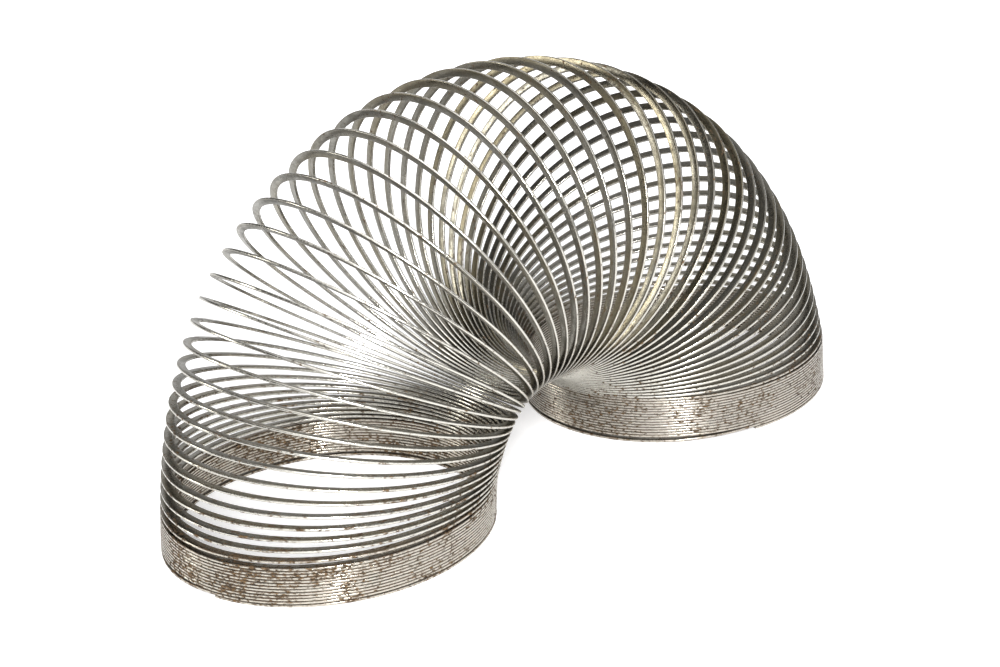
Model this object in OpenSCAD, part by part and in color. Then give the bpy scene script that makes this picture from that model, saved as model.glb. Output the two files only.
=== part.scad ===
// Walking coil spring: one flat steel strip wound into a coil of about 76 turns,
// standing as an arch on the closed turns at its two ends.
// +Z is up, +X runs from the near foot to the far foot, millimetres throughout.
// The strip is one piece of metal. Each node is a length of that one strip, and
// two lengths meet on the inner side of the arch, where the turns rest together.

/* [Strip] */
// outside diameter of the coil
coil_od = 69; // [50:0.5:90]
// width of the strip across the coil
strip_w = 1.8; // [1.2:0.1:4]
// thickness of the strip along the coil
strip_t = 0.58; // [0.4:0.02:1]
// air between two turns that rest on each other
turn_gap = 0.036; // [0.02:0.002:0.1]

/* [Near foot] */
// closed turns in the near foot
near_turns = 13; // [8:1:24]
// angle at which the bare near end of the strip points, in degrees
near_end_angle = 195; // [15:15:345]
// sideways lean of the near foot, per turn
near_foot_lean = 0.09; // [0:0.01:0.3]

/* [Arch] */
// turns that fan out between the two feet
fan_turns = 48; // [36:1:56]
// fan of the first turn of the near leg, as a share of the fan at the crown
near_fan_share = 0.23; // [0.1:0.01:0.9]
// fan of the last turn of the far leg, as a share of the fan at the crown
far_fan_share = 0.277; // [0.1:0.001:0.9]
// how strongly the fan gathers at the crown
fan_sharpness = 1.5; // [0.5:0.05:3]
// how far the widest fan drifts towards the far foot, and 1 leaves it in the middle
fan_drift = 1.057; // [0.9:0.001:1.2]
// sideways lean of the near leg, per turn
near_leg_lean = 0.3; // [0:0.01:0.6]
// sideways lean of the far leg, per turn
far_leg_lean = 0.42; // [0:0.01:0.6]
// share of the arch at which the near lean begins to fade
lean_fade_from = 0.375; // [0.1:0.005:0.5]
// share of the arch at which the far lean is complete
lean_fade_to = 0.665; // [0.5:0.005:0.9]

/* [Hidden] */
// straight lengths in one turn
turn_steps = 24;
// colour of the bare steel
steel = [0.56, 0.55, 0.52];
// the outer and inner edge of the strip, and its middle
r_out = coil_od / 2;
r_in = r_out - strip_w;
r_mid = r_out - strip_w / 2;
// distance from one closed turn to the next
pitch = strip_t + turn_gap;
// share of the end turn that lies flat on the table
flat_share = 11 / 12;
// places along the strip are counted in turns, and whole numbers are on the inner side of the arch
v_start = near_end_angle / 360;
v_flat_near = v_start + flat_share;
v_fan = near_turns;
v_fan_end = near_turns + fan_turns;

// weight of each fanned turn, and the angle it turns through, in degrees
function fan_weight(k) =
    let (x = pow((k - 0.5) / fan_turns, fan_drift), share = x < 0.5 ? near_fan_share : far_fan_share)
    share + (1 - share) * pow(sin(180 * x), fan_sharpness);
weights = [for (k = [1 : fan_turns]) fan_weight(k)];
function total(list, i = 0) = i == len(list) ? 0 : list[i] + total(list, i + 1);
weight_total = total(weights);
fans = [for (w = weights) 180 * w / weight_total];

// a smooth change from 0 to 1 between two places
function smooth(x, a, b) =
    let (u = max(0, min(1, (x - a) / (b - a))))
    u * u * (3 - 2 * u);
// sideways lean per turn, at a share x of the arch
function lean(x) =
    near_leg_lean - (near_leg_lean + far_leg_lean) * smooth(x, lean_fade_from, lean_fade_to);

// height of the middle of the strip in the near foot
function near_z(v) =
    strip_t / 2 + (v <= v_flat_near ? 0
        : v < v_start + 1 ? pitch * (v - v_flat_near) / (1 - flat_share)
        : pitch * (v - v_start));
// place of the middle of the strip in the near foot: [turn, x, z, tilt]
function near_place(v) =
    [v, near_foot_lean * (v - v_fan), near_z(v), 0];
v_near = concat(
    [v_flat_near],
    [for (i = [ceil(v_flat_near * turn_steps + 0.01) : near_turns * turn_steps]) i / turn_steps]);
near_path = [for (v = v_near) near_place(v)];

// middle of the strip along the fanned turns: [turn, x, z, tilt], one entry for each step
fan_steps = fan_turns * turn_steps;
function fan_of(i) = fans[min(fan_turns - 1, floor(i / turn_steps))];
function rise_of(i) = pitch + fan_of(i) * PI / 180 * strip_w / 2;
function lean_of(i) = lean((i + 0.5) / fan_steps);
function mid_tilt(i, tilt) = tilt + fan_of(i) / turn_steps / 2;
function step_x(i, tilt) =
    (rise_of(i) * sin(mid_tilt(i, tilt)) + lean_of(i) * cos(mid_tilt(i, tilt))) / turn_steps;
function step_z(i, tilt) =
    (rise_of(i) * cos(mid_tilt(i, tilt)) - lean_of(i) * sin(mid_tilt(i, tilt))) / turn_steps;
fan_path = [
    for (i = 0, tilt = 0, x = 0, z = near_z(v_fan);
        i <= fan_steps;
        x = x + step_x(i, tilt), z = z + step_z(i, tilt), tilt = tilt + fan_of(i) / turn_steps, i = i + 1)
    [v_fan + i / turn_steps, x, z, tilt]];

// the far foot runs down from the end of the arch to the table
far_x = fan_path[fan_steps][1];
far_z = fan_path[fan_steps][2];
far_turns = (far_z - strip_t / 2) / pitch;
v_end = v_fan_end + far_turns;
v_flat_far = v_end - flat_share;
v_ramp_far = v_end - 1;
function far_height(v) =
    strip_t / 2 + (v >= v_flat_far ? 0
        : v > v_ramp_far ? pitch * (v_flat_far - v) / (1 - flat_share)
        : pitch * (v_end - v));
far_last = floor(v_ramp_far * turn_steps - 0.01);
v_far = concat(
    [for (i = [v_fan_end * turn_steps : far_last]) i / turn_steps],
    [v_ramp_far],
    [for (i = [far_last + 1 : floor(v_flat_far * turn_steps - 0.01)])
        if (i / turn_steps > v_ramp_far + 0.004) i / turn_steps],
    [v_flat_far]);
far_path = [for (v = v_far) [v, far_x, far_height(v), 180]];

// a corner of the strip: p is a place on the path, r the radius, side the height above the middle
function corner(p, r, side) =
    let (a = 360 * p[0], out = r * cos(a) - r_mid)
    [p[1] + out * cos(p[3]) + side * sin(p[3]),
     r * sin(a),
     p[2] - out * sin(p[3]) + side * cos(p[3])];

// the whole part is moved along X so that its box is centred on the origin
outer_x = [for (p = concat(near_path, fan_path, far_path)) for (s = [-1, 1])
    corner(p, r_out, s * strip_t / 2)[0]];
near_axis_raw = near_place(v_flat_near)[1] - r_mid;
far_axis_raw = far_x + r_mid;
x_shift = -(min(min(outer_x), near_axis_raw - r_out) + max(max(outer_x), far_axis_raw + r_out)) / 2;
near_axis = near_axis_raw + x_shift;
far_axis = far_axis_raw + x_shift;

function four(p) = [
    corner(p, r_in, -strip_t / 2),
    corner(p, r_out, -strip_t / 2),
    corner(p, r_out, strip_t / 2),
    corner(p, r_in, strip_t / 2)];
function shifted(points) = [for (q = points) [q[0] + x_shift, q[1], q[2]]];

// a solid length of strip along a path
module strip(path) {
    n = len(path);
    sides = [for (i = [0 : n - 2]) for (f = [
        [0, 1, 5], [0, 5, 4],
        [1, 2, 6], [1, 6, 5],
        [2, 3, 6], [3, 7, 6],
        [3, 0, 4], [3, 4, 7]]) [for (j = f) 4 * i + j]];
    ends = [[0, 3, 2], [0, 2, 1], [4 * n - 4, 4 * n - 3, 4 * n - 2], [4 * n - 4, 4 * n - 2, 4 * n - 1]];
    polyhedron(points = shifted([for (p = path) for (q = four(p)) q]), faces = concat(sides, ends));
}

// a flat open ring of strip lying on the table
module flat_arc(axis_x, first_angle) {
    translate([axis_x, 0, 0])
        rotate([0, 0, first_angle])
            rotate_extrude(angle = 360 * flat_share, $fn = 120)
                translate([r_in, 0])
                    square([strip_w, strip_t]);
}

module near_end_turn() {
    color(steel)
        flat_arc(near_axis, near_end_angle);
}

module near_foot_stack() {
    color(steel)
        strip(near_path);
}

module fan_turn(k) {
    color(steel)
        strip([for (i = [(k - 1) * turn_steps : k * turn_steps]) fan_path[i]]);
}

module far_foot_stack() {
    color(steel)
        strip(far_path);
}

module far_end_turn() {
    color(steel)
        flat_arc(far_axis, 180 - 360 * v_end);
}

function turn_name(k) = str("turn_", k < 10 ? "0" : "", k);

near_end_turn();
near_foot_stack();
for (k = [1 : fan_turns])
    fan_turn(k);
far_foot_stack();
far_end_turn();
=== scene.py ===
"""The looks of a walking coil spring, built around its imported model.

One flat steel strip runs through the whole object: closed turns in the near foot,
fanned turns over the arch, closed turns in the far foot. The strip's path is worked
out once, cut into one length for each turn that moves, and each length is swept by a
Geometry Nodes tree into a closed solid with rolled corners. Lengths are metres.
"""
import logging
import math
from dataclasses import dataclass, field
from enum import Enum
from typing import Any, Iterable, Sequence

import bpy
import numpy as np
from mathutils import Matrix, Vector


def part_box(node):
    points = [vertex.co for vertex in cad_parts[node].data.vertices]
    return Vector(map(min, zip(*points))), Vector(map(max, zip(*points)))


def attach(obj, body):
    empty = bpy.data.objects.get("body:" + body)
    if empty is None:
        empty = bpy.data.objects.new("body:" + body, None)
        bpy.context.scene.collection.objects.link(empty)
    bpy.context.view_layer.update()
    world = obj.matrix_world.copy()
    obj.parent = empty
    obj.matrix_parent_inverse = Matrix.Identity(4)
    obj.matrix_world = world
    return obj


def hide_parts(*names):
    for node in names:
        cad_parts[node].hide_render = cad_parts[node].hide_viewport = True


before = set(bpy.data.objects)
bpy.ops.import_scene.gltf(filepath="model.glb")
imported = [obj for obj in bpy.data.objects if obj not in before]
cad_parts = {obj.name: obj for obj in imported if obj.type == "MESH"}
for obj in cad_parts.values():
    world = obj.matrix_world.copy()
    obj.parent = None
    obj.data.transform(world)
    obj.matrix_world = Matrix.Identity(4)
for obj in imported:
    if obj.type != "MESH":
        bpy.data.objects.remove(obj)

log = logging.getLogger("walking_spring")
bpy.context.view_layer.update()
MM = 0.001
MM_PER_METRE = 1000.0
SAME_TURN = 1e-6
WELD_DISTANCE = 2e-7
SHARP_EDGE = math.radians(50)
# A Mix node has sockets for every kind of data, and these are the ones for colour.
MIX_FIRST, MIX_SECOND, MIX_RESULT = 6, 7, 2
Socket = bpy.types.NodeSocket
Colour = tuple[float, float, float]
Triple = tuple[float, float, float]


class Stretch(Enum):
    """The three stretches of the strip, which differ in how their turns lie and have aged."""

    NEAR_FOOT = "near_foot"
    ARCH = "arch"
    FAR_FOOT = "far_foot"


class GraphMaker:
    """Adds nodes to one node tree and joins their sockets."""

    def __init__(self, tree: bpy.types.NodeTree) -> None:
        """Keeps the tree that the nodes go in.

        Args:
            tree: A geometry or shader node tree.
        """
        self.tree = tree

    def add(self, kind: str, values: dict[Any, Any] | None = None, **settings: Any) -> bpy.types.Node:
        """Adds a node.

        Args:
            kind: The node's type name.
            values: A socket, or a constant, for each input, by its name or place.
            **settings: The node's own properties.

        Returns:
            The new node.
        """
        node = self.tree.nodes.new(kind)
        for name, value in settings.items():
            setattr(node, name, value)
        for key, value in (values or {}).items():
            self.feed(node.inputs[key], value)
        return node

    def feed(self, target: Socket, value: Any) -> None:
        """Joins a socket to an input, or sets the input's own value.

        Args:
            target: The input socket.
            value: An output socket or a constant.
        """
        if isinstance(value, Socket):
            self.tree.links.new(value, target)
        else:
            target.default_value = value

    def math(self, operation: str, first: Any, second: Any = 0.0, third: Any = 0.0) -> Socket:
        """Adds a Math node.

        Args:
            operation: The name of the sum, such as MULTIPLY.
            first: The first socket or number.
            second: The second socket or number.
            third: The third socket or number.

        Returns:
            The result's socket.
        """
        node = self.add("ShaderNodeMath", {0: first, 1: second, 2: third}, operation=operation)
        return node.outputs[0]

    def vector(self, operation: str, first: Any, second: Any = (0.0, 0.0, 0.0), scale: Any = None) -> Socket:
        """Adds a Vector Math node.

        Args:
            operation: The name of the sum, such as ADD.
            first: The first socket or vector.
            second: The second socket or vector.
            scale: The factor of a SCALE.

        Returns:
            The resulting vector's socket.
        """
        node = self.add("ShaderNodeVectorMath", {0: first, 1: second}, operation=operation)
        if scale is not None:
            self.feed(node.inputs["Scale"], scale)
        return node.outputs[0]

    def ramp(self, value: Any, low: Any, high: Any, to_low: Any = 0.0, to_high: Any = 1.0) -> Socket:
        """Maps a value smoothly from one range to another, and holds it at both ends.

        Args:
            value: The value that is mapped.
            low: Where the range begins.
            high: Where the range ends.
            to_low: The result at low.
            to_high: The result at high.

        Returns:
            The result's socket.
        """
        node = self.add(
            "ShaderNodeMapRange",
            {0: value, 1: low, 2: high, 3: to_low, 4: to_high},
            interpolation_type="SMOOTHSTEP",
        )
        return node.outputs[0]

    def blend(self, factor: Any, first: Any, second: Any, kind: str = "MIX") -> Socket:
        """Mixes two colours.

        Args:
            factor: How much of the second there is.
            first: The colour at 0.
            second: The colour at 1.
            kind: The blend, such as MIX or MULTIPLY.

        Returns:
            The mixed colour's socket.
        """
        node = self.add("ShaderNodeMix", {0: factor}, data_type="RGBA", blend_type=kind)
        for place, colour in ((MIX_FIRST, first), (MIX_SECOND, second)):
            self.feed(node.inputs[place], colour if isinstance(colour, Socket) else (*colour, 1.0))
        return node.outputs[MIX_RESULT]

    def noise(self, place: Any, scale: Any, detail: float = 2.0, roughness: float = 0.5) -> Socket:
        """Adds a three-dimensional noise.

        Args:
            place: The vector that it is read at.
            scale: How many features there are in one unit.
            detail: How many finer layers are added.
            roughness: How strong the finer layers are.

        Returns:
            The noise's value, about 0.5.
        """
        node = self.add(
            "ShaderNodeTexNoise",
            {"Vector": place, "Scale": scale, "Detail": detail, "Roughness": roughness},
            noise_dimensions="3D",
        )
        return node.outputs[0]

    def group(self, tree: bpy.types.NodeTree, values: dict[str, Any]) -> bpy.types.Node:
        """Places a shader group.

        Args:
            tree: The group.
            values: A socket or constant for each named input.

        Returns:
            The group's node.
        """
        node = self.tree.nodes.new("ShaderNodeGroup")
        node.node_tree = tree
        for name, value in values.items():
            self.feed(node.inputs[name], value)
        return node


def new_group(
    name: str,
    kind: str,
    inputs: Iterable[tuple[str, str, Any]],
    outputs: Iterable[tuple[str, str]],
) -> tuple[GraphMaker, bpy.types.Node, bpy.types.Node]:
    """Makes an empty node group with named sockets.

    Args:
        name: The group's name.
        kind: GeometryNodeTree or ShaderNodeTree.
        inputs: The name, socket type and default value, or None, of each input.
        outputs: The name and socket type of each output.

    Returns:
        The maker for the group, its input node and its output node.
    """
    tree = bpy.data.node_groups.new(name, kind)
    for label, socket_type, default in inputs:
        socket = tree.interface.new_socket(label, in_out="INPUT", socket_type=socket_type)
        if default is not None:
            socket.default_value = default
    for label, socket_type in outputs:
        tree.interface.new_socket(label, in_out="OUTPUT", socket_type=socket_type)
    maker = GraphMaker(tree)
    return maker, maker.add("NodeGroupInput"), maker.add("NodeGroupOutput")


@dataclass(frozen=True)
class StripSection:
    """The cross-section of the rolled strip."""

    width: float = 1.8 * MM
    thickness: float = 0.58 * MM
    corner: float = 0.2 * MM
    corner_points: int = 5


@dataclass(frozen=True)
class StripPath:
    """A length of the strip's middle line, with the two directions across it."""

    turn: np.ndarray
    middle: np.ndarray
    outward: np.ndarray
    upward: np.ndarray


@dataclass(frozen=True)
class CoilRule:
    """The rule that the whole strip follows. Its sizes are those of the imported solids."""

    outer_diameter: float = 69.0 * MM
    turn_gap: float = 0.036 * MM
    near_turns: int = 13
    near_end_angle: float = 195.0
    near_foot_lean: float = 0.09 * MM
    fan_turns: int = 48
    near_fan_share: float = 0.23
    far_fan_share: float = 0.277
    fan_sharpness: float = 1.5
    fan_drift: float = 1.057
    near_leg_lean: float = 0.3 * MM
    far_leg_lean: float = 0.42 * MM
    lean_fade_from: float = 0.375
    lean_fade_to: float = 0.665
    flat_share: float = 11 / 12
    steps: int = 240
    section: StripSection = field(default_factory=StripSection)

    @property
    def pitch(self) -> float:
        """The distance from one closed turn to the next."""
        return self.section.thickness + self.turn_gap

    @property
    def middle_radius(self) -> float:
        """The radius of the strip's middle line."""
        return (self.outer_diameter - self.section.width) / 2

    @property
    def start(self) -> float:
        """The turn number of the bare near end."""
        return self.near_end_angle / 360

    def fans(self) -> np.ndarray:
        """Works out how far each turn of the arch fans open, which adds up to half a circle.

        Returns:
            The angle of each turn, in radians.
        """
        share = ((np.arange(self.fan_turns) + 0.5) / self.fan_turns) ** self.fan_drift
        least = np.where(share < 0.5, self.near_fan_share, self.far_fan_share)
        weight = least + (1 - least) * np.sin(np.pi * share) ** self.fan_sharpness
        return np.pi * weight / weight.sum()

    def lean(self, share: np.ndarray) -> np.ndarray:
        """Works out the sideways lean per turn along the arch.

        Args:
            share: Places along the arch, from 0 to 1.

        Returns:
            The lean at each, in metres per turn.
        """
        fade = np.clip((share - self.lean_fade_from) / (self.lean_fade_to - self.lean_fade_from), 0, 1)
        fade = fade * fade * (3 - 2 * fade)
        return self.near_leg_lean - (self.near_leg_lean + self.far_leg_lean) * fade

    def arch_line(self) -> np.ndarray:
        """Works out the middle line over the arch.

        Returns:
            A row of turn number, x, z and tilt at each step.
        """
        fans = np.repeat(self.fans(), self.steps)
        count = len(fans)
        rise = self.pitch + fans * self.section.width / 2
        lean = self.lean((np.arange(count) + 0.5) / count)
        tilt = np.concatenate([[0], np.cumsum(fans) / self.steps])
        mid = (tilt[1:] + tilt[:-1]) / 2
        x = np.cumsum(rise * np.sin(mid) + lean * np.cos(mid)) / self.steps
        z = np.cumsum(rise * np.cos(mid) - lean * np.sin(mid)) / self.steps
        first = self.near_height(np.array([float(self.near_turns)]))[0]
        turn = self.near_turns + np.arange(count + 1) / self.steps
        return np.column_stack([turn, np.concatenate([[0], x]), first + np.concatenate([[0], z]), tilt])

    def near_height(self, turn: np.ndarray) -> np.ndarray:
        """Works out the height of the strip in the near foot.

        Args:
            turn: Turn numbers from the bare end up.

        Returns:
            The height of the strip's middle at each.
        """
        return self.section.thickness / 2 + self.coiled_height(turn - self.start)

    def coiled_height(self, turns: np.ndarray) -> np.ndarray:
        """Works out how high the strip has climbed from a bare end that lies flat on the table.

        Args:
            turns: Turns counted from the bare end.

        Returns:
            The climb at each, in metres.
        """
        ramp = self.pitch * (turns - self.flat_share) / (1 - self.flat_share)
        return np.where(turns <= self.flat_share, 0, np.where(turns < 1, ramp, self.pitch * turns))

    def whole_line(self) -> np.ndarray:
        """Works out the middle line of the whole strip, centred on its box.

        Returns:
            A row of turn number, x, z and tilt at each step, from the near end to the far end.
        """
        arch = self.arch_line()
        flat = self.start + self.flat_share
        turn = np.arange(math.ceil(self.start * self.steps), self.near_turns * self.steps) / self.steps
        lean = self.near_foot_lean * (np.maximum(turn, flat) - self.near_turns)
        near = np.column_stack([turn, lean, self.near_height(turn), np.zeros(len(turn))])
        left = (arch[-1, 2] - self.section.thickness / 2) / self.pitch
        end = arch[-1, 0] + left
        turn = np.append(np.arange(arch[-1, 0] * self.steps + 1, end * self.steps) / self.steps, end)
        height = self.section.thickness / 2 + self.coiled_height(end - turn)
        far = np.column_stack([turn, np.full(len(turn), arch[-1, 1]), height, np.full(len(turn), np.pi)])
        line = np.concatenate([near, arch, far])
        edge = self.points(line, self.outer_diameter / 2, 0.0)[:, 0]
        line[:, 1] -= (edge.min() + edge.max()) / 2
        return line

    def points(self, line: np.ndarray, radius: float, side: float) -> np.ndarray:
        """Finds points of the strip.

        Args:
            line: Rows of turn number, x, z and tilt.
            radius: The distance from the coil's own axis.
            side: The distance above the strip's middle.

        Returns:
            A point for each row.
        """
        around = 2 * np.pi * line[:, 0]
        out = radius * np.cos(around) - self.middle_radius
        cos, sin = np.cos(line[:, 3]), np.sin(line[:, 3])
        return np.column_stack([
            line[:, 1] + out * cos + side * sin,
            radius * np.sin(around),
            line[:, 2] - out * sin + side * cos,
        ])

    def length(self, line: np.ndarray, first: float, last: float) -> StripPath:
        """Cuts one length out of the whole strip.

        Args:
            line: The whole middle line.
            first: The turn number where the length begins.
            last: The turn number where it ends.

        Returns:
            The length's path.
        """
        part = line[(line[:, 0] > first - SAME_TURN) & (line[:, 0] < last + SAME_TURN)]
        around = 2 * np.pi * part[:, 0]
        cos, sin = np.cos(part[:, 3]), np.sin(part[:, 3])
        outward = np.column_stack([np.cos(around) * cos, np.sin(around), -np.cos(around) * sin])
        upward = np.column_stack([sin, np.zeros(len(part)), cos])
        return StripPath(part[:, 0], self.points(part, self.middle_radius, 0.0), outward, upward)


class StripSweep:
    """The Geometry Nodes tree that sweeps the strip's section along a path."""

    def __init__(self, section: StripSection) -> None:
        """Builds the tree.

        Args:
            section: The cross-section that it sweeps.
        """
        self.section = section
        self.tree = self.build()

    def build(self) -> bpy.types.NodeTree:
        """Builds the tree: a grid is wrapped round the path, closed, marked and given its material.

        Returns:
            The tree.
        """
        maker, given, result = new_group(
            "strip sweep",
            "GeometryNodeTree",
            [
                ("Path", "NodeSocketGeometry", None),
                ("Strip width", "NodeSocketFloat", self.section.width),
                ("Strip thickness", "NodeSocketFloat", self.section.thickness),
                ("Corner radius", "NodeSocketFloat", self.section.corner),
                ("Corner points", "NodeSocketInt", self.section.corner_points),
                ("Steel", "NodeSocketMaterial", None),
            ],
            [("Strip", "NodeSocketGeometry")],
        )
        maker.tree.is_modifier = True
        path, corner_points = given.outputs["Path"], given.outputs["Corner points"]
        size = maker.add("GeometryNodeAttributeDomainSize", {0: path}, component="MESH")
        around = maker.math("ADD", maker.math("MULTIPLY", corner_points, 4.0), 1.0)
        grid = maker.add(
            "GeometryNodeMeshGrid",
            {"Size X": 1.0, "Size Y": 1.0, "Vertices X": size.outputs["Point Count"], "Vertices Y": around},
        )
        index = maker.add("GeometryNodeInputIndex").outputs[0]
        along = maker.math("FLOOR", maker.math("DIVIDE", maker.math("ADD", index, 0.5), around))
        round_step = maker.math("SUBTRACT", index, maker.math("MULTIPLY", along, around))
        across, up = self.profile(maker, given, round_step, corner_points)
        middle = self.sample(maker, path, "position", along)
        outward = self.sample(maker, path, "outward", along)
        upward = self.sample(maker, path, "upward", along)
        marks = self.sample(maker, path, "marks", along)
        split = maker.add("ShaderNodeSeparateXYZ", {0: marks})
        offset = maker.vector(
            "ADD",
            maker.vector("SCALE", outward, scale=across),
            maker.vector("SCALE", upward, scale=up),
        )
        offset = maker.vector("SCALE", offset, scale=split.outputs[1])
        moved = maker.add(
            "GeometryNodeSetPosition",
            {"Geometry": grid.outputs["Mesh"], "Position": maker.vector("ADD", middle, offset)},
        )
        place = maker.add(
            "ShaderNodeCombineXYZ",
            {
                0: split.outputs[0],
                1: maker.math("DIVIDE", across, maker.math("MULTIPLY", given.outputs["Strip width"], 0.5)),
                2: maker.math("DIVIDE", up, maker.math("MULTIPLY", given.outputs["Strip thickness"], 0.5)),
            },
        )
        marked = maker.add(
            "GeometryNodeStoreNamedAttribute",
            {"Geometry": moved.outputs[0], "Name": "strip_place", "Value": place.outputs[0]},
            data_type="FLOAT_VECTOR",
            domain="POINT",
        )
        closed = maker.add(
            "GeometryNodeMergeByDistance", {"Geometry": marked.outputs[0], "Distance": WELD_DISTANCE}
        )
        angle = maker.add("GeometryNodeInputMeshEdgeAngle").outputs["Unsigned Angle"]
        flat_edge = maker.math("LESS_THAN", angle, SHARP_EDGE)
        smooth = maker.add("GeometryNodeSetShadeSmooth", {0: closed.outputs[0]}, domain="FACE")
        rounded = maker.add(
            "GeometryNodeSetShadeSmooth",
            {"Geometry": smooth.outputs[0], "Shade Smooth": flat_edge},
            domain="EDGE",
        )
        real = maker.add("GeometryNodeRealizeInstances", {0: rounded.outputs[0]})
        dressed = maker.add(
            "GeometryNodeSetMaterial", {"Geometry": real.outputs[0], "Material": given.outputs["Steel"]}
        )
        maker.feed(result.inputs["Strip"], dressed.outputs[0])
        return maker.tree

    def profile(
        self, maker: GraphMaker, given: bpy.types.Node, step: Socket, corner_points: Socket
    ) -> tuple[Socket, Socket]:
        """Works out the section's outline, a rectangle with round corners.

        Args:
            maker: The tree's maker.
            given: The tree's input node.
            step: The place round the outline.
            corner_points: How many points each corner has.

        Returns:
            The distances across and above the strip's middle.
        """
        corner = maker.math("FLOOR", maker.math("DIVIDE", maker.math("ADD", step, 0.5), corner_points))
        inside = maker.math("SUBTRACT", step, maker.math("MULTIPLY", corner, corner_points))
        share = maker.math("DIVIDE", inside, maker.math("SUBTRACT", corner_points, 1.0))
        angle = maker.math("MULTIPLY", maker.math("ADD", corner, share), math.pi / 2)
        diagonal = maker.math("MULTIPLY", maker.math("ADD", corner, 0.5), math.pi / 2)
        radius = given.outputs["Corner radius"]
        sides = []
        for size, turn in (("Strip width", "COSINE"), ("Strip thickness", "SINE")):
            half = maker.math("SUBTRACT", maker.math("MULTIPLY", given.outputs[size], 0.5), radius)
            centre = maker.math("MULTIPLY", half, maker.math("SIGN", maker.math(turn, diagonal)))
            sides.append(maker.math("MULTIPLY_ADD", maker.math(turn, angle), radius, centre))
        return sides[0], sides[1]

    @staticmethod
    def sample(maker: GraphMaker, path: Socket, name: str, index: Socket) -> Socket:
        """Reads a vector of the path at one of its points.

        Args:
            maker: The tree's maker.
            path: The path's geometry.
            name: The attribute's name.
            index: The point's number.

        Returns:
            The vector's socket.
        """
        if name == "position":
            source = maker.add("GeometryNodeInputPosition")
        else:
            source = maker.add("GeometryNodeInputNamedAttribute", {0: name}, data_type="FLOAT_VECTOR")
        picked = maker.add(
            "GeometryNodeSampleIndex",
            {"Geometry": path, "Value": source.outputs[0], "Index": index},
            data_type="FLOAT_VECTOR",
            domain="POINT",
        )
        return picked.outputs[0]

    def solid(self, name: str, path: StripPath, steel: bpy.types.Material) -> bpy.types.Object:
        """Sweeps one length of strip into a closed mesh.

        Args:
            name: The piece's name.
            path: The length's path.
            steel: Its material.

        Returns:
            The finished piece, at the origin, with no modifier.
        """
        guide = bpy.data.meshes.new(name + ".path")
        last = len(path.turn) - 1
        # Each end point comes twice, and the outer copy's outline is shrunk to nothing to close the end.
        order = np.array([0, *range(last + 1), last])
        count = len(order)
        guide.from_pydata(path.middle[order].tolist(), [(i, i + 1) for i in range(count - 1)], [])
        open_share = np.ones(count)
        open_share[[0, -1]] = 0
        marks = np.column_stack([path.turn[order], open_share, np.zeros(count)])
        vectors = {"outward": path.outward[order], "upward": path.upward[order], "marks": marks}
        for label, values in vectors.items():
            attribute = guide.attributes.new(label, "FLOAT_VECTOR", "POINT")
            attribute.data.foreach_set("vector", values.astype(np.float32).ravel())
        carrier = bpy.data.objects.new(name + ".sweep", guide)
        bpy.context.scene.collection.objects.link(carrier)
        modifier = carrier.modifiers.new("strip sweep", "NODES")
        modifier.node_group = self.tree
        self.set_input(modifier, "Strip width", self.section.width)
        self.set_input(modifier, "Strip thickness", self.section.thickness)
        self.set_input(modifier, "Corner radius", self.section.corner)
        self.set_input(modifier, "Corner points", self.section.corner_points)
        self.set_input(modifier, "Steel", steel)
        bpy.context.view_layer.update()
        evaluated = carrier.evaluated_get(bpy.context.evaluated_depsgraph_get())
        mesh = bpy.data.meshes.new_from_object(evaluated)
        mesh.name = name
        bpy.data.objects.remove(carrier)
        bpy.data.meshes.remove(guide)
        piece = bpy.data.objects.new(name, mesh)
        bpy.context.scene.collection.objects.link(piece)
        return piece

    def set_input(self, modifier: bpy.types.NodesModifier, name: str, value: Any) -> None:
        """Sets one of the modifier's inputs by its socket's identifier.

        Args:
            modifier: The modifier.
            name: The input's name.
            value: Its value.
        """
        for item in self.tree.interface.items_tree:
            if item.item_type == "SOCKET" and item.in_out == "INPUT" and item.name == name:
                modifier[item.identifier] = value


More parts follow.
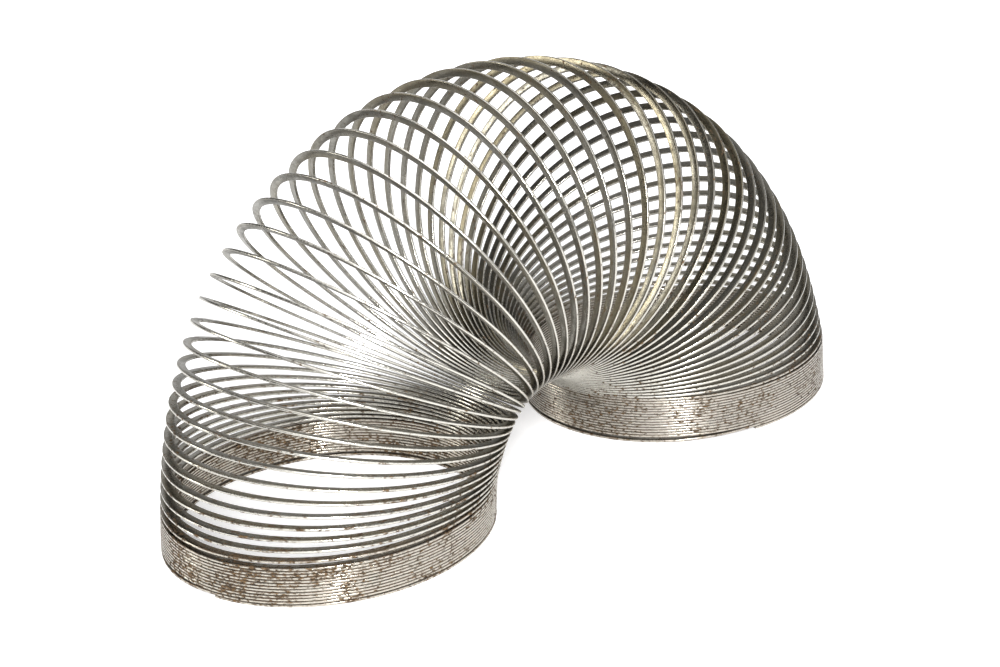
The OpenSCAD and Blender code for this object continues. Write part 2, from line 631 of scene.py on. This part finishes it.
class SteelEffects:
    """The shader node groups that every length of the strip shares."""

    LINE_STRETCH: Triple = (0.03, 1.0, 1.0)
    SPECK_STRETCH: Triple = (0.55, 1.0, 1.0)
    # Stretch of the broken pattern of the painted groove shade and grime.
    SHADE_AND_GRIME_STRETCH: Triple = (0.25, 1.0, 1.0)
    STREAK_STRETCH: Triple = (0.05, 0.6, 0.2)
    FLECK_STRETCH: Triple = (0.5, 1.0, 1.0)
    WARM_SHIFT: Triple = (31.0, 7.0, 3.0)
    SPECKLE_RELIEF = 0.6
    CLEAN_LEVEL = 0.7
    RUST_SPREAD = 0.2
    SPECK_SOFTNESS = 0.03
    STAIN_REACH = 0.11
    STAIN_OVERLAP = 0.01
    DARK_RUST: Colour = (0.026, 0.016, 0.008)
    LIGHT_RUST: Colour = (0.135, 0.08, 0.034)

    def __init__(self, rule: CoilRule) -> None:
        """Builds the groups.

        Args:
            rule: The strip's rule, which gives its sizes.
        """
        self.place = self.strip_place(rule)
        self.grain = self.rolling_grain()
        self.rust = self.rust_specks()
        # Painted highlight on the narrow edges, and their rubbed places.
        self.sheen_and_wear = self.edge_sheen_and_wear()
        # Painted shade and grime in the grooves between turns.
        self.shade_and_grime = self.groove_shade_and_grime()
        self.tarnish = self.tarnish_patches()

    @staticmethod
    def strip_place(rule: CoilRule) -> bpy.types.NodeTree:
        """Places on the strip in millimetres: along it, across it and above its middle.

        Args:
            rule: The strip's rule.

        Returns:
            The group.
        """
        maker, given, result = new_group(
            "strip place",
            "ShaderNodeTree",
            [("Place", "NodeSocketVector", None)],
            [
                ("Millimetres", "NodeSocketVector"),
                ("Turn", "NodeSocketFloat"),
                ("Across", "NodeSocketFloat"),
                ("Above", "NodeSocketFloat"),
            ],
        )
        split = maker.add("ShaderNodeSeparateXYZ", {0: given.outputs[0]})
        units = (2 * math.pi * rule.middle_radius, rule.section.width / 2, rule.section.thickness / 2)
        joined = maker.add(
            "ShaderNodeCombineXYZ",
            {axis: maker.math("MULTIPLY", split.outputs[axis], unit / MM) for axis, unit in enumerate(units)},
        )
        maker.feed(result.inputs[0], joined.outputs[0])
        for place in range(3):
            maker.feed(result.inputs[place + 1], split.outputs[place])
        return maker.tree

    @classmethod
    def rolling_grain(cls) -> bpy.types.NodeTree:
        """Fine lines along the strip, left by the rolls, with a faint speckle over them.

        Returns:
            The group.
        """
        maker, given, result = new_group(
            "rolling grain",
            "ShaderNodeTree",
            [
                ("Millimetres", "NodeSocketVector", None),
                ("Line scale", "NodeSocketFloat", 9.0),
                ("Speckle scale", "NodeSocketFloat", 5.0),
            ],
            [("Lines", "NodeSocketFloat"), ("Speckle", "NodeSocketFloat"), ("Height", "NodeSocketFloat")],
        )
        long = maker.vector("MULTIPLY", given.outputs[0], cls.LINE_STRETCH)
        lines = maker.noise(long, given.outputs["Line scale"], detail=3.0, roughness=0.6)
        speckle = maker.noise(given.outputs[0], given.outputs["Speckle scale"], detail=3.0, roughness=0.65)
        maker.feed(result.inputs["Lines"], maker.ramp(lines, low=0.3, high=0.7))
        maker.feed(result.inputs["Speckle"], maker.ramp(speckle, low=0.35, high=0.68))
        height = maker.math("MULTIPLY_ADD", speckle, cls.SPECKLE_RELIEF, lines)
        maker.feed(result.inputs["Height"], height)
        return maker.tree

    @classmethod
    def rust_specks(cls) -> bpy.types.NodeTree:
        """Small brown specks, gathered in patches, with a thin stain round them.

        Returns:
            The group.
        """
        maker, given, result = new_group(
            "rust specks",
            "ShaderNodeTree",
            [
                ("Millimetres", "NodeSocketVector", None),
                ("Object", "NodeSocketVector", None),
                ("Amount", "NodeSocketFloat", 0.3),
                ("Size", "NodeSocketFloat", 0.6),
                ("Patch size", "NodeSocketFloat", 12.0),
            ],
            [
                ("Specks", "NodeSocketFloat"),
                ("Stain", "NodeSocketFloat"),
                ("Colour", "NodeSocketColor"),
                ("Height", "NodeSocketFloat"),
            ],
        )
        place = maker.vector("SCALE", given.outputs["Object"], scale=MM_PER_METRE)
        patch_scale = maker.math("DIVIDE", 1.0, given.outputs["Patch size"])
        patch = maker.noise(place, patch_scale, detail=3.0, roughness=0.6)
        patch = maker.ramp(patch, low=0.36, high=0.64, to_low=0.45, to_high=1.1)
        local = maker.math("MULTIPLY", given.outputs["Amount"], patch)
        long = maker.vector("MULTIPLY", given.outputs[0], cls.SPECK_STRETCH)
        fine = maker.noise(long, maker.math("DIVIDE", 1.0, given.outputs["Size"]), detail=4.0, roughness=0.62)
        level = maker.math("SUBTRACT", cls.CLEAN_LEVEL, maker.math("MULTIPLY", local, cls.RUST_SPREAD))
        specks = maker.ramp(fine, level, maker.math("ADD", level, cls.SPECK_SOFTNESS))
        stain_from = maker.math("SUBTRACT", level, cls.STAIN_REACH)
        stain = maker.ramp(fine, stain_from, maker.math("ADD", level, cls.STAIN_OVERLAP))
        shade = maker.noise(long, scale=3.1, detail=2.0, roughness=0.5)
        brown = maker.blend(maker.ramp(shade, low=0.35, high=0.65), cls.DARK_RUST, cls.LIGHT_RUST)
        maker.feed(result.inputs["Specks"], specks)
        stained = maker.math("MULTIPLY", stain, maker.ramp(local, low=0.05, high=0.7))
        maker.feed(result.inputs["Stain"], stained)
        maker.feed(result.inputs["Colour"], brown)
        maker.feed(result.inputs["Height"], maker.math("MULTIPLY", specks, fine))
        return maker.tree

    @staticmethod
    def edge_sheen_and_wear() -> bpy.types.NodeTree:
        """A painted highlight all along the strip's two narrow edges and its corners, and the places where
        the metal on them is rubbed.

        Returns:
            The group.
        """
        maker, given, result = new_group(
            "edge wear",
            "ShaderNodeTree",
            [
                ("Millimetres", "NodeSocketVector", None),
                ("Across", "NodeSocketFloat", 0.0),
                ("Reach", "NodeSocketFloat", 0.1),
            ],
            [("Edge", "NodeSocketFloat"), ("Rubbed", "NodeSocketFloat")],
        )
        side = maker.math("ABSOLUTE", given.outputs["Across"])
        start = maker.math("SUBTRACT", 1.0, given.outputs["Reach"])
        edge = maker.ramp(side, start, high=1.0)
        broken = maker.noise(given.outputs[0], scale=1.1, detail=3.0, roughness=0.6)
        # Edge: the whole narrow edge, which gets the painted highlight. Rubbed: the broken, worn part of it.
        maker.feed(result.inputs["Edge"], edge)
        rubbed = maker.math("MULTIPLY", edge, maker.ramp(broken, low=0.35, high=0.6))
        maker.feed(result.inputs["Rubbed"], rubbed)
        return maker.tree

    @classmethod
    def groove_shade_and_grime(cls) -> bpy.types.NodeTree:
        """A brown line of painted shade and grime along the strip's corners, in the groove between two turns
        that rest together.

        Returns:
            The group.
        """
        maker, given, result = new_group(
            "groove grime",
            "ShaderNodeTree",
            [
                ("Millimetres", "NodeSocketVector", None),
                ("Across", "NodeSocketFloat", 0.0),
                ("Above", "NodeSocketFloat", 0.0),
                ("Amount", "NodeSocketFloat", 0.5),
            ],
            [("Shade and grime", "NodeSocketFloat")],
        )
        side = maker.ramp(maker.math("ABSOLUTE", given.outputs["Across"]), low=0.72, high=0.86)
        lip = maker.ramp(maker.math("ABSOLUTE", given.outputs["Above"]), low=0.4, high=0.85)
        long = maker.vector("MULTIPLY", given.outputs[0], cls.SHADE_AND_GRIME_STRETCH)
        broken = maker.ramp(maker.noise(long, scale=0.9, detail=3.0, roughness=0.6), low=0.4, high=0.6)
        # Darkest at the four corners of the section: painted groove shade with a grime tint.
        shade_and_grime = maker.math("MULTIPLY", maker.math("MULTIPLY", side, lip), broken)
        maker.feed(result.inputs[0], maker.math("MULTIPLY", shade_and_grime, given.outputs["Amount"]))
        return maker.tree

    @classmethod
    def tarnish_patches(cls) -> bpy.types.NodeTree:
        """Broad dull patches of olive and brown where the steel has darkened.

        Returns:
            The group.
        """
        maker, given, result = new_group(
            "tarnish",
            "ShaderNodeTree",
            [
                ("Millimetres", "NodeSocketVector", None),
                ("Object", "NodeSocketVector", None),
                ("Patch size", "NodeSocketFloat", 25.0),
            ],
            [("Dull", "NodeSocketFloat"), ("Warm", "NodeSocketFloat"), ("Mottle", "NodeSocketFloat")],
        )
        place = maker.vector("SCALE", given.outputs["Object"], scale=MM_PER_METRE)
        scale = maker.math("DIVIDE", 1.0, given.outputs["Patch size"])
        broad = maker.noise(place, scale, detail=2.0, roughness=0.5)
        long = maker.vector("MULTIPLY", given.outputs[0], cls.STREAK_STRETCH)
        streak = maker.noise(long, scale=0.9, detail=2.0, roughness=0.5)
        dull = maker.math("MULTIPLY", maker.math("ADD", broad, streak), 0.5)
        maker.feed(result.inputs["Dull"], maker.ramp(dull, low=0.38, high=0.62))
        warm = maker.noise(maker.vector("ADD", long, cls.WARM_SHIFT), scale=0.35, detail=2.0, roughness=0.5)
        maker.feed(result.inputs["Warm"], maker.ramp(warm, low=0.4, high=0.66))
        flecks = maker.vector("MULTIPLY", given.outputs[0], cls.FLECK_STRETCH)
        mottle = maker.noise(flecks, scale=0.75, detail=4.0, roughness=0.6)
        maker.feed(result.inputs["Mottle"], maker.ramp(mottle, low=0.42, high=0.6))
        return maker.tree


@dataclass(frozen=True)
class SteelFinish:
    """How one stretch of the bare strip has aged, with the painted highlight on its edges and the painted
    shade in its grooves.
    """

    name: str
    face: Colour = (0.33, 0.315, 0.28)
    dull: Colour = (0.13, 0.122, 0.095)
    bright: Colour = (0.42, 0.41, 0.37)
    warm: Colour = (0.27, 0.23, 0.14)
    # Colour of the painted highlight on the narrow edges.
    edge: Colour = (0.74, 0.72, 0.66)
    dullness: float = 0.8
    rust: float = 0.3
    low_rust: float = 0.0
    low_turns: tuple[float, float] = (14.0, 26.0)
    high_turns: tuple[float, float] = (54.0, 62.0)
    # Strength of the painted groove shade and grime.
    shade_and_grime: float = 0.2
    speck_size: float = 0.6
    patch_size: float = 12.0
    roughness: float = 0.22
    dull_roughness: float = 0.34
    mottle: float = 0.45
    warmth: float = 0.75
    line_colour: Colour = (0.12, 0.115, 0.1)
    line_strength: float = 0.3
    speckle_colour: Colour = (0.1, 0.095, 0.08)
    speckle_strength: float = 0.45
    edge_strength: float = 0.9
    # Brown of the painted groove shade and grime.
    shade_and_grime_colour: Colour = (0.085, 0.042, 0.02)
    stain_colour: Colour = (0.13, 0.095, 0.058)
    stain_strength: float = 0.6
    rust_relief: float = 1.5
    grain_relief: float = 0.35
    relief_strength: float = 0.35
    relief_depth: float = 0.04 * MM
    far_rust_share: float = 0.7
    speckle_roughness: float = 0.12
    mottle_roughness: float = -0.06
    rubbed_roughness: float = -0.12
    rust_roughness: float = 0.85
    rust_cover: float = 0.9
    # How much metal shine the painted groove shade and grime takes away.
    shade_and_grime_cover: float = 0.7

    def rust_amount(self, maker: GraphMaker, turn: Any) -> Any:
        """Adds rust towards the two feet.

        Args:
            maker: The material's maker.
            turn: The place along the strip, in turns.

        Returns:
            The amount of rust at that place.
        """
        near = maker.ramp(turn, *self.low_turns, 1.0, 0.0)
        far = maker.ramp(turn, *self.high_turns, 0.0, self.far_rust_share)
        return maker.math("MULTIPLY_ADD", maker.math("ADD", near, far), self.low_rust, self.rust)

    def material(self, effects: SteelEffects) -> bpy.types.Material:
        """Builds the material.

        Args:
            effects: The shared shader groups.

        Returns:
            The finished material.
        """
        steel = bpy.data.materials.new(self.name)
        steel.use_nodes = True
        steel.node_tree.nodes.clear()
        maker = GraphMaker(steel.node_tree)
        mark = maker.add("ShaderNodeAttribute", attribute_name="strip_place").outputs["Vector"]
        thing = maker.add("ShaderNodeTexCoord").outputs["Object"]
        place = maker.group(effects.place, {"Place": mark})
        strip = place.outputs["Millimetres"]
        grain = maker.group(effects.grain, {"Millimetres": strip})
        dulled = maker.group(effects.tarnish, {"Millimetres": strip, "Object": thing})
        # Painted edge highlight, and rubbed edges for roughness.
        sheen_and_wear = maker.group(effects.sheen_and_wear, {"Millimetres": strip, "Across": place.outputs["Across"]})
        # Painted shade and grime in the grooves between turns.
        shade_and_grime = maker.group(
            effects.shade_and_grime,
            {
                "Millimetres": strip,
                "Across": place.outputs["Across"],
                "Above": place.outputs["Above"],
                "Amount": self.shade_and_grime,
            },
        )
        rust = maker.group(
            effects.rust,
            {
                "Millimetres": strip,
                "Object": thing,
                "Amount": self.rust_amount(maker, place.outputs["Turn"]),
                "Size": self.speck_size,
                "Patch size": self.patch_size,
            },
        )
        colour: Any = self.face
        for mask, strength, tint in (
            (dulled.outputs["Dull"], self.dullness, self.dull),
            (dulled.outputs["Mottle"], self.mottle, self.bright),
            (dulled.outputs["Warm"], self.warmth, self.warm),
            (grain.outputs["Lines"], self.line_strength, self.line_colour),
            (grain.outputs["Speckle"], self.speckle_strength, self.speckle_colour),
            # Painted highlight: the narrow edges are lightened all along.
            (sheen_and_wear.outputs["Edge"], self.edge_strength, self.edge),
            # Painted shade, tinted brown as grime, in the grooves between turns.
            (shade_and_grime.outputs["Shade and grime"], 1.0, self.shade_and_grime_colour),
            (rust.outputs["Stain"], self.stain_strength, self.stain_colour),
            (rust.outputs["Specks"], 1.0, rust.outputs["Colour"]),
        ):
            colour = maker.blend(maker.math("MULTIPLY", mask, strength), colour, tint)
        rougher = self.dull_roughness - self.roughness
        rough = maker.math("MULTIPLY_ADD", dulled.outputs["Dull"], rougher, self.roughness)
        rough = maker.math("MULTIPLY_ADD", grain.outputs["Speckle"], self.speckle_roughness, rough)
        rough = maker.math("MULTIPLY_ADD", dulled.outputs["Mottle"], self.mottle_roughness, rough)
        rough = maker.math("MULTIPLY_ADD", sheen_and_wear.outputs["Rubbed"], self.rubbed_roughness, rough)
        rusted = maker.math("MULTIPLY", rust.outputs["Specks"], self.rust_roughness)
        rough = maker.math("MAXIMUM", rough, rusted)
        covered = maker.math("MULTIPLY", rust.outputs["Specks"], self.rust_cover)
        metal = maker.math("SUBTRACT", 1.0, covered)
        # The painted groove shade and grime also takes away metal shine.
        shaded_and_grimed = maker.math("MULTIPLY", shade_and_grime.outputs["Shade and grime"], self.shade_and_grime_cover)
        metal = maker.math("SUBTRACT", metal, shaded_and_grimed)
        height = maker.math("MULTIPLY", grain.outputs["Height"], self.grain_relief)
        height = maker.math("MULTIPLY_ADD", rust.outputs["Height"], self.rust_relief, height)
        bump = maker.add(
            "ShaderNodeBump",
            {"Height": height, "Strength": self.relief_strength, "Distance": self.relief_depth},
        )
        shader = maker.add(
            "ShaderNodeBsdfPrincipled",
            {
                "Base Color": colour,
                "Metallic": maker.math("MAXIMUM", metal, 0.0),
                "Roughness": rough,
                "Normal": bump.outputs[0],
            },
        )
        output = maker.add("ShaderNodeOutputMaterial")
        maker.feed(output.inputs["Surface"], shader.outputs[0])
        return steel


@dataclass
class Foot:
    """A stack of closed turns with its bare end, and the first or last turn of the arch."""

    body: str
    nodes: Sequence[str]
    first: float
    last: float
    finish: SteelFinish
    piece: bpy.types.Object | None = None

    def build(self, rule: CoilRule, line: np.ndarray, sweep: StripSweep, steel: bpy.types.Material) -> None:
        """Makes the foot's length of strip.

        Args:
            rule: The strip's rule.
            line: The whole middle line.
            sweep: The tree that sweeps it.
            steel: The foot's material.
        """
        self.piece = sweep.solid("strip_" + self.body, rule.length(line, self.first, self.last), steel)

    def attach(self) -> None:
        """Puts the piece on its body, in place of the foot's plain solids."""
        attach(self.piece, self.body)
        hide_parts(*self.nodes)


@dataclass
class ArchTurn:
    """One turn of the arch, which fans on its neighbours."""

    number: int
    first: float
    piece: bpy.types.Object | None = None

    @property
    def node(self) -> str:
        """The name of the turn's plain solid."""
        return f"turn_{self.number:02d}"

    def build(self, rule: CoilRule, line: np.ndarray, sweep: StripSweep, steel: bpy.types.Material) -> None:
        """Makes the turn's length of strip.

        Args:
            rule: The strip's rule.
            line: The whole middle line.
            sweep: The tree that sweeps it.
            steel: The arch's material.
        """
        self.piece = sweep.solid("strip_" + self.node, rule.length(line, self.first, self.first + 1), steel)

    def attach(self) -> None:
        """Puts the piece on its body, in place of the turn's plain solid."""
        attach(self.piece, self.node)
        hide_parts(self.node)


@dataclass(frozen=True)
class Viewpoint:
    """Where the camera stands, and how it is turned."""

    azimuth: float = -37.455
    elevation: float = 21.816
    roll: float = -5.0045
    distance: float = 0.4516
    target: tuple[float, float, float] = (0.01363, 0.0, 0.02703)
    focal_share: float = 2.1136
    sensor: float = 36.0
    nearest: float = 0.01
    furthest: float = 20.0

    def build(self, shift: float) -> bpy.types.Object:
        """Makes the camera and makes it the scene's own.

        Args:
            shift: How far the coil was moved along X to centre it.

        Returns:
            The camera.
        """
        around, up_angle, roll = (math.radians(a) for a in (self.azimuth, self.elevation, self.roll))
        forward = Vector((
            -math.sin(around) * math.cos(up_angle),
            math.cos(around) * math.cos(up_angle),
            -math.sin(up_angle),
        ))
        level = forward.cross(Vector((0, 0, 1))).normalized()
        above = level.cross(forward)
        right = math.cos(roll) * level + math.sin(roll) * above
        up = -math.sin(roll) * level + math.cos(roll) * above
        data = bpy.data.cameras.new("studio camera")
        data.sensor_width = self.sensor
        data.lens = self.focal_share * self.sensor
        data.clip_start, data.clip_end = self.nearest, self.furthest
        camera = bpy.data.objects.new("studio camera", data)
        bpy.context.scene.collection.objects.link(camera)
        target = Vector(self.target) + Vector((shift, 0, 0))
        turned = Matrix((right, up, -forward)).transposed().to_4x4()
        camera.matrix_world = Matrix.Translation(target - self.distance * forward) @ turned
        bpy.context.scene.camera = camera
        return camera


@dataclass(frozen=True)
class Glow:
    """A soft bright patch of the room, seen in a direction from the coil."""

    azimuth: float
    elevation: float
    inner: float
    outer: float
    strength: float
    colour: Colour = (1.0, 1.0, 1.0)

    def direction(self) -> tuple[float, float, float]:
        """The unit vector towards the patch."""
        around, up = math.radians(self.azimuth), math.radians(self.elevation)
        return math.cos(around) * math.cos(up), math.sin(around) * math.cos(up), math.sin(up)


@dataclass(frozen=True)
class Softbox:
    """A rectangular light, with its place, aim and size in metres and its power in watts."""

    name: str
    place: tuple[float, float, float]
    aim: tuple[float, float, float]
    size: tuple[float, float]
    power: float

    def build(self) -> None:
        """Hangs the light and turns it to its aim."""
        data = bpy.data.lights.new(self.name, "AREA")
        data.shape, data.energy = "RECTANGLE", self.power
        data.size, data.size_y = self.size
        light = bpy.data.objects.new(self.name, data)
        bpy.context.scene.collection.objects.link(light)
        place = Vector(self.place)
        turned = (place - Vector(self.aim)).to_track_quat("Z", "Y").to_matrix().to_4x4()
        light.matrix_world = Matrix.Translation(place) @ turned


@dataclass(frozen=True)
class Studio:
    """A white table in a dim room, under a wide soft light from above."""

    floor_size: float = 6.0
    floor_colour: Colour = (0.9, 0.9, 0.9)
    floor_roughness: float = 0.8
    floor_tint: Colour = (0.97, 0.965, 1.0)
    floor_glow: float = 0.33
    far_glow: float = 0.9
    shadow_reach: tuple[float, float] = (0.09, 0.3)
    floor_spill: float = 0.06
    room: Colour = (0.07, 0.07, 0.07)
    backdrop: Colour = (1.0, 1.0, 1.0)
    glows: tuple[Glow, ...] = (
        Glow(90.0, 90.0, 12.0, 46.0, 1.15),
        Glow(130.0, 16.0, 3.0, 11.0, 11.0, (1.0, 0.98, 0.9)),
        Glow(58.0, 22.0, 8.0, 30.0, 0.75),
        Glow(215.0, 32.0, 8.0, 30.0, 1.2),
        Glow(300.0, 32.0, 8.0, 34.0, 1.0),
    )
    softboxes: tuple[Softbox, ...] = (
        Softbox("front softbox", (-0.42, -0.62, 0.42), (0.0, 0.0, 0.03), (0.085, 0.26), 9.5),
        Softbox("top softbox", (-0.1, -0.05, 0.8), (0.0, 0.0, 0.0), (0.5, 0.5), 1.0),
    )

    def build(self) -> None:
        """Makes the floor, the lights and the surroundings."""
        self.floor()
        self.surroundings()
        for softbox in self.softboxes:
            softbox.build()
        bpy.context.scene.view_settings.view_transform = "Standard"

    def floor(self) -> None:
        """Lays the table top, which glows a little, as an overlit white sheet does."""
        half = self.floor_size / 2
        mesh = bpy.data.meshes.new("table top")
        corners = [(-half, -half, 0), (half, -half, 0), (half, half, 0), (-half, half, 0)]
        mesh.from_pydata(corners, [], [(0, 1, 2, 3)])
        white = bpy.data.materials.new("white table")
        white.use_nodes = True
        maker = GraphMaker(white.node_tree)
        shader = white.node_tree.nodes["Principled BSDF"]
        shader.inputs["Base Color"].default_value = (*self.floor_colour, 1.0)
        shader.inputs["Roughness"].default_value = self.floor_roughness
        shader.inputs["Emission Color"].default_value = (*self.floor_tint, 1.0)
        place = maker.add("ShaderNodeTexCoord").outputs["Object"]
        away = maker.add("ShaderNodeVectorMath", {0: place}, operation="LENGTH").outputs["Value"]
        level = maker.ramp(away, *self.shadow_reach, self.floor_glow, self.far_glow)
        seen = maker.add("ShaderNodeLightPath").outputs["Is Camera Ray"]
        extra = maker.math("SUBTRACT", level, self.floor_spill)
        glow = maker.math("MULTIPLY_ADD", extra, seen, self.floor_spill)
        maker.feed(shader.inputs["Emission Strength"], glow)
        mesh.materials.append(white)
        top = bpy.data.objects.new("table top", mesh)
        bpy.context.scene.collection.objects.link(top)

    def surroundings(self) -> None:
        """Paints the room: an even grey with soft glows, and a white backdrop that only the camera sees."""
        world = bpy.data.worlds.new("dim room")
        world.use_nodes = True
        maker = GraphMaker(world.node_tree)
        direction = maker.add("ShaderNodeTexCoord").outputs["Generated"]
        light: Any = self.room
        for glow in self.glows:
            ends = {0: direction, 1: glow.direction()}
            toward = maker.add("ShaderNodeVectorMath", ends, operation="DOT_PRODUCT").outputs["Value"]
            edges = (math.cos(math.radians(angle)) for angle in (glow.outer, glow.inner))
            near = maker.ramp(toward, *edges)
            tint = tuple(part * glow.strength for part in glow.colour)
            light = maker.blend(near, light, maker.blend(1.0, light, tint, "ADD"))
        seen = maker.add("ShaderNodeLightPath").outputs["Is Camera Ray"]
        light = maker.blend(seen, light, self.backdrop)
        background = world.node_tree.nodes["Background"]
        maker.feed(background.inputs["Color"], light)
        background.inputs["Strength"].default_value = 1.0
        bpy.context.scene.world = world


class WalkingSpring:
    """The whole coil: two feet and the turns between them."""

    def __init__(self) -> None:
        """Works out the strip's line and lists the lengths that it is cut into."""
        self.rule = CoilRule()
        self.line = self.rule.whole_line()
        self.shift = float(np.interp(self.rule.near_turns, self.line[:, 0], self.line[:, 1]))
        first, last = float(self.rule.near_turns), float(self.rule.near_turns + self.rule.fan_turns)
        self.finishes = {
            Stretch.NEAR_FOOT: SteelFinish(
                "near foot steel",
                face=(0.30, 0.27, 0.23),
                dull=(0.14, 0.115, 0.085),
                warm=(0.26, 0.19, 0.12),
                # Painted edge highlight, dimmer than on the arch.
                edge=(0.62, 0.58, 0.51),
                rust=0.84,
                # Strength of the painted groove shade and grime in the near foot.
                shade_and_grime=0.9,
                speck_size=0.52,
                patch_size=9.0,
            ),
            Stretch.ARCH: SteelFinish("arch steel", rust=0.4, low_rust=0.4, speck_size=0.6),
            Stretch.FAR_FOOT: SteelFinish(
                "far foot steel",
                face=(0.36, 0.34, 0.31),
                dull=(0.20, 0.18, 0.14),
                warm=(0.30, 0.25, 0.16),
                # Painted edge highlight, dimmer than on the arch.
                edge=(0.60, 0.56, 0.50),
                rust=0.6,
                # Strength of the painted groove shade and grime in the far foot.
                shade_and_grime=0.6,
                speck_size=0.52,
            ),
        }
        self.near_foot = Foot(
            "near_foot",
            ("near_end_turn", "near_foot_stack", "turn_01"),
            self.rule.start,
            first + 1,
            self.finishes[Stretch.NEAR_FOOT],
        )
        self.far_foot = Foot(
            "far_foot",
            (f"turn_{self.rule.fan_turns:02d}", "far_foot_stack", "far_end_turn"),
            last - 1,
            float(self.line[-1, 0]),
            self.finishes[Stretch.FAR_FOOT],
        )
        self.turns = [ArchTurn(k, first + k - 1) for k in range(2, self.rule.fan_turns)]

    def build(self) -> None:
        """Makes every length of strip, dresses it and puts it on its body."""
        effects = SteelEffects(self.rule)
        steels = {stretch: finish.material(effects) for stretch, finish in self.finishes.items()}
        sweep = StripSweep(self.rule.section)
        for part, stretch in (
            (self.near_foot, Stretch.NEAR_FOOT),
            *((turn, Stretch.ARCH) for turn in self.turns),
            (self.far_foot, Stretch.FAR_FOOT),
        ):
            part.build(self.rule, self.line, sweep, steels[stretch])
            part.attach()
            self.report(part)

    @staticmethod
    def report(part: Foot | ArchTurn) -> None:
        """Logs a finished piece, and how far its box is from its plain solid's.

        Args:
            part: The foot or turn.
        """
        names = part.nodes if isinstance(part, Foot) else (part.node,)
        corners = [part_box(name) for name in names]
        low = np.min([c[0] for c in corners], axis=0)
        high = np.max([c[1] for c in corners], axis=0)
        points = np.zeros(len(part.piece.data.vertices) * 3)
        part.piece.data.vertices.foreach_get("co", points)
        points = points.reshape(-1, 3)
        off = max(np.abs(points.min(0) - low).max(), np.abs(points.max(0) - high).max())
        log.info("%s: %d faces, box within %.2f mm", part.piece.name, len(part.piece.data.polygons), off / MM)


def main() -> None:
    """Builds the spring, the studio and the camera."""
    logging.basicConfig(level=logging.INFO, format="%(name)s: %(message)s")
    spring = WalkingSpring()
    spring.build()
    Studio().build()
    Viewpoint().build(spring.shift)


if __name__ == "__main__":
    main()
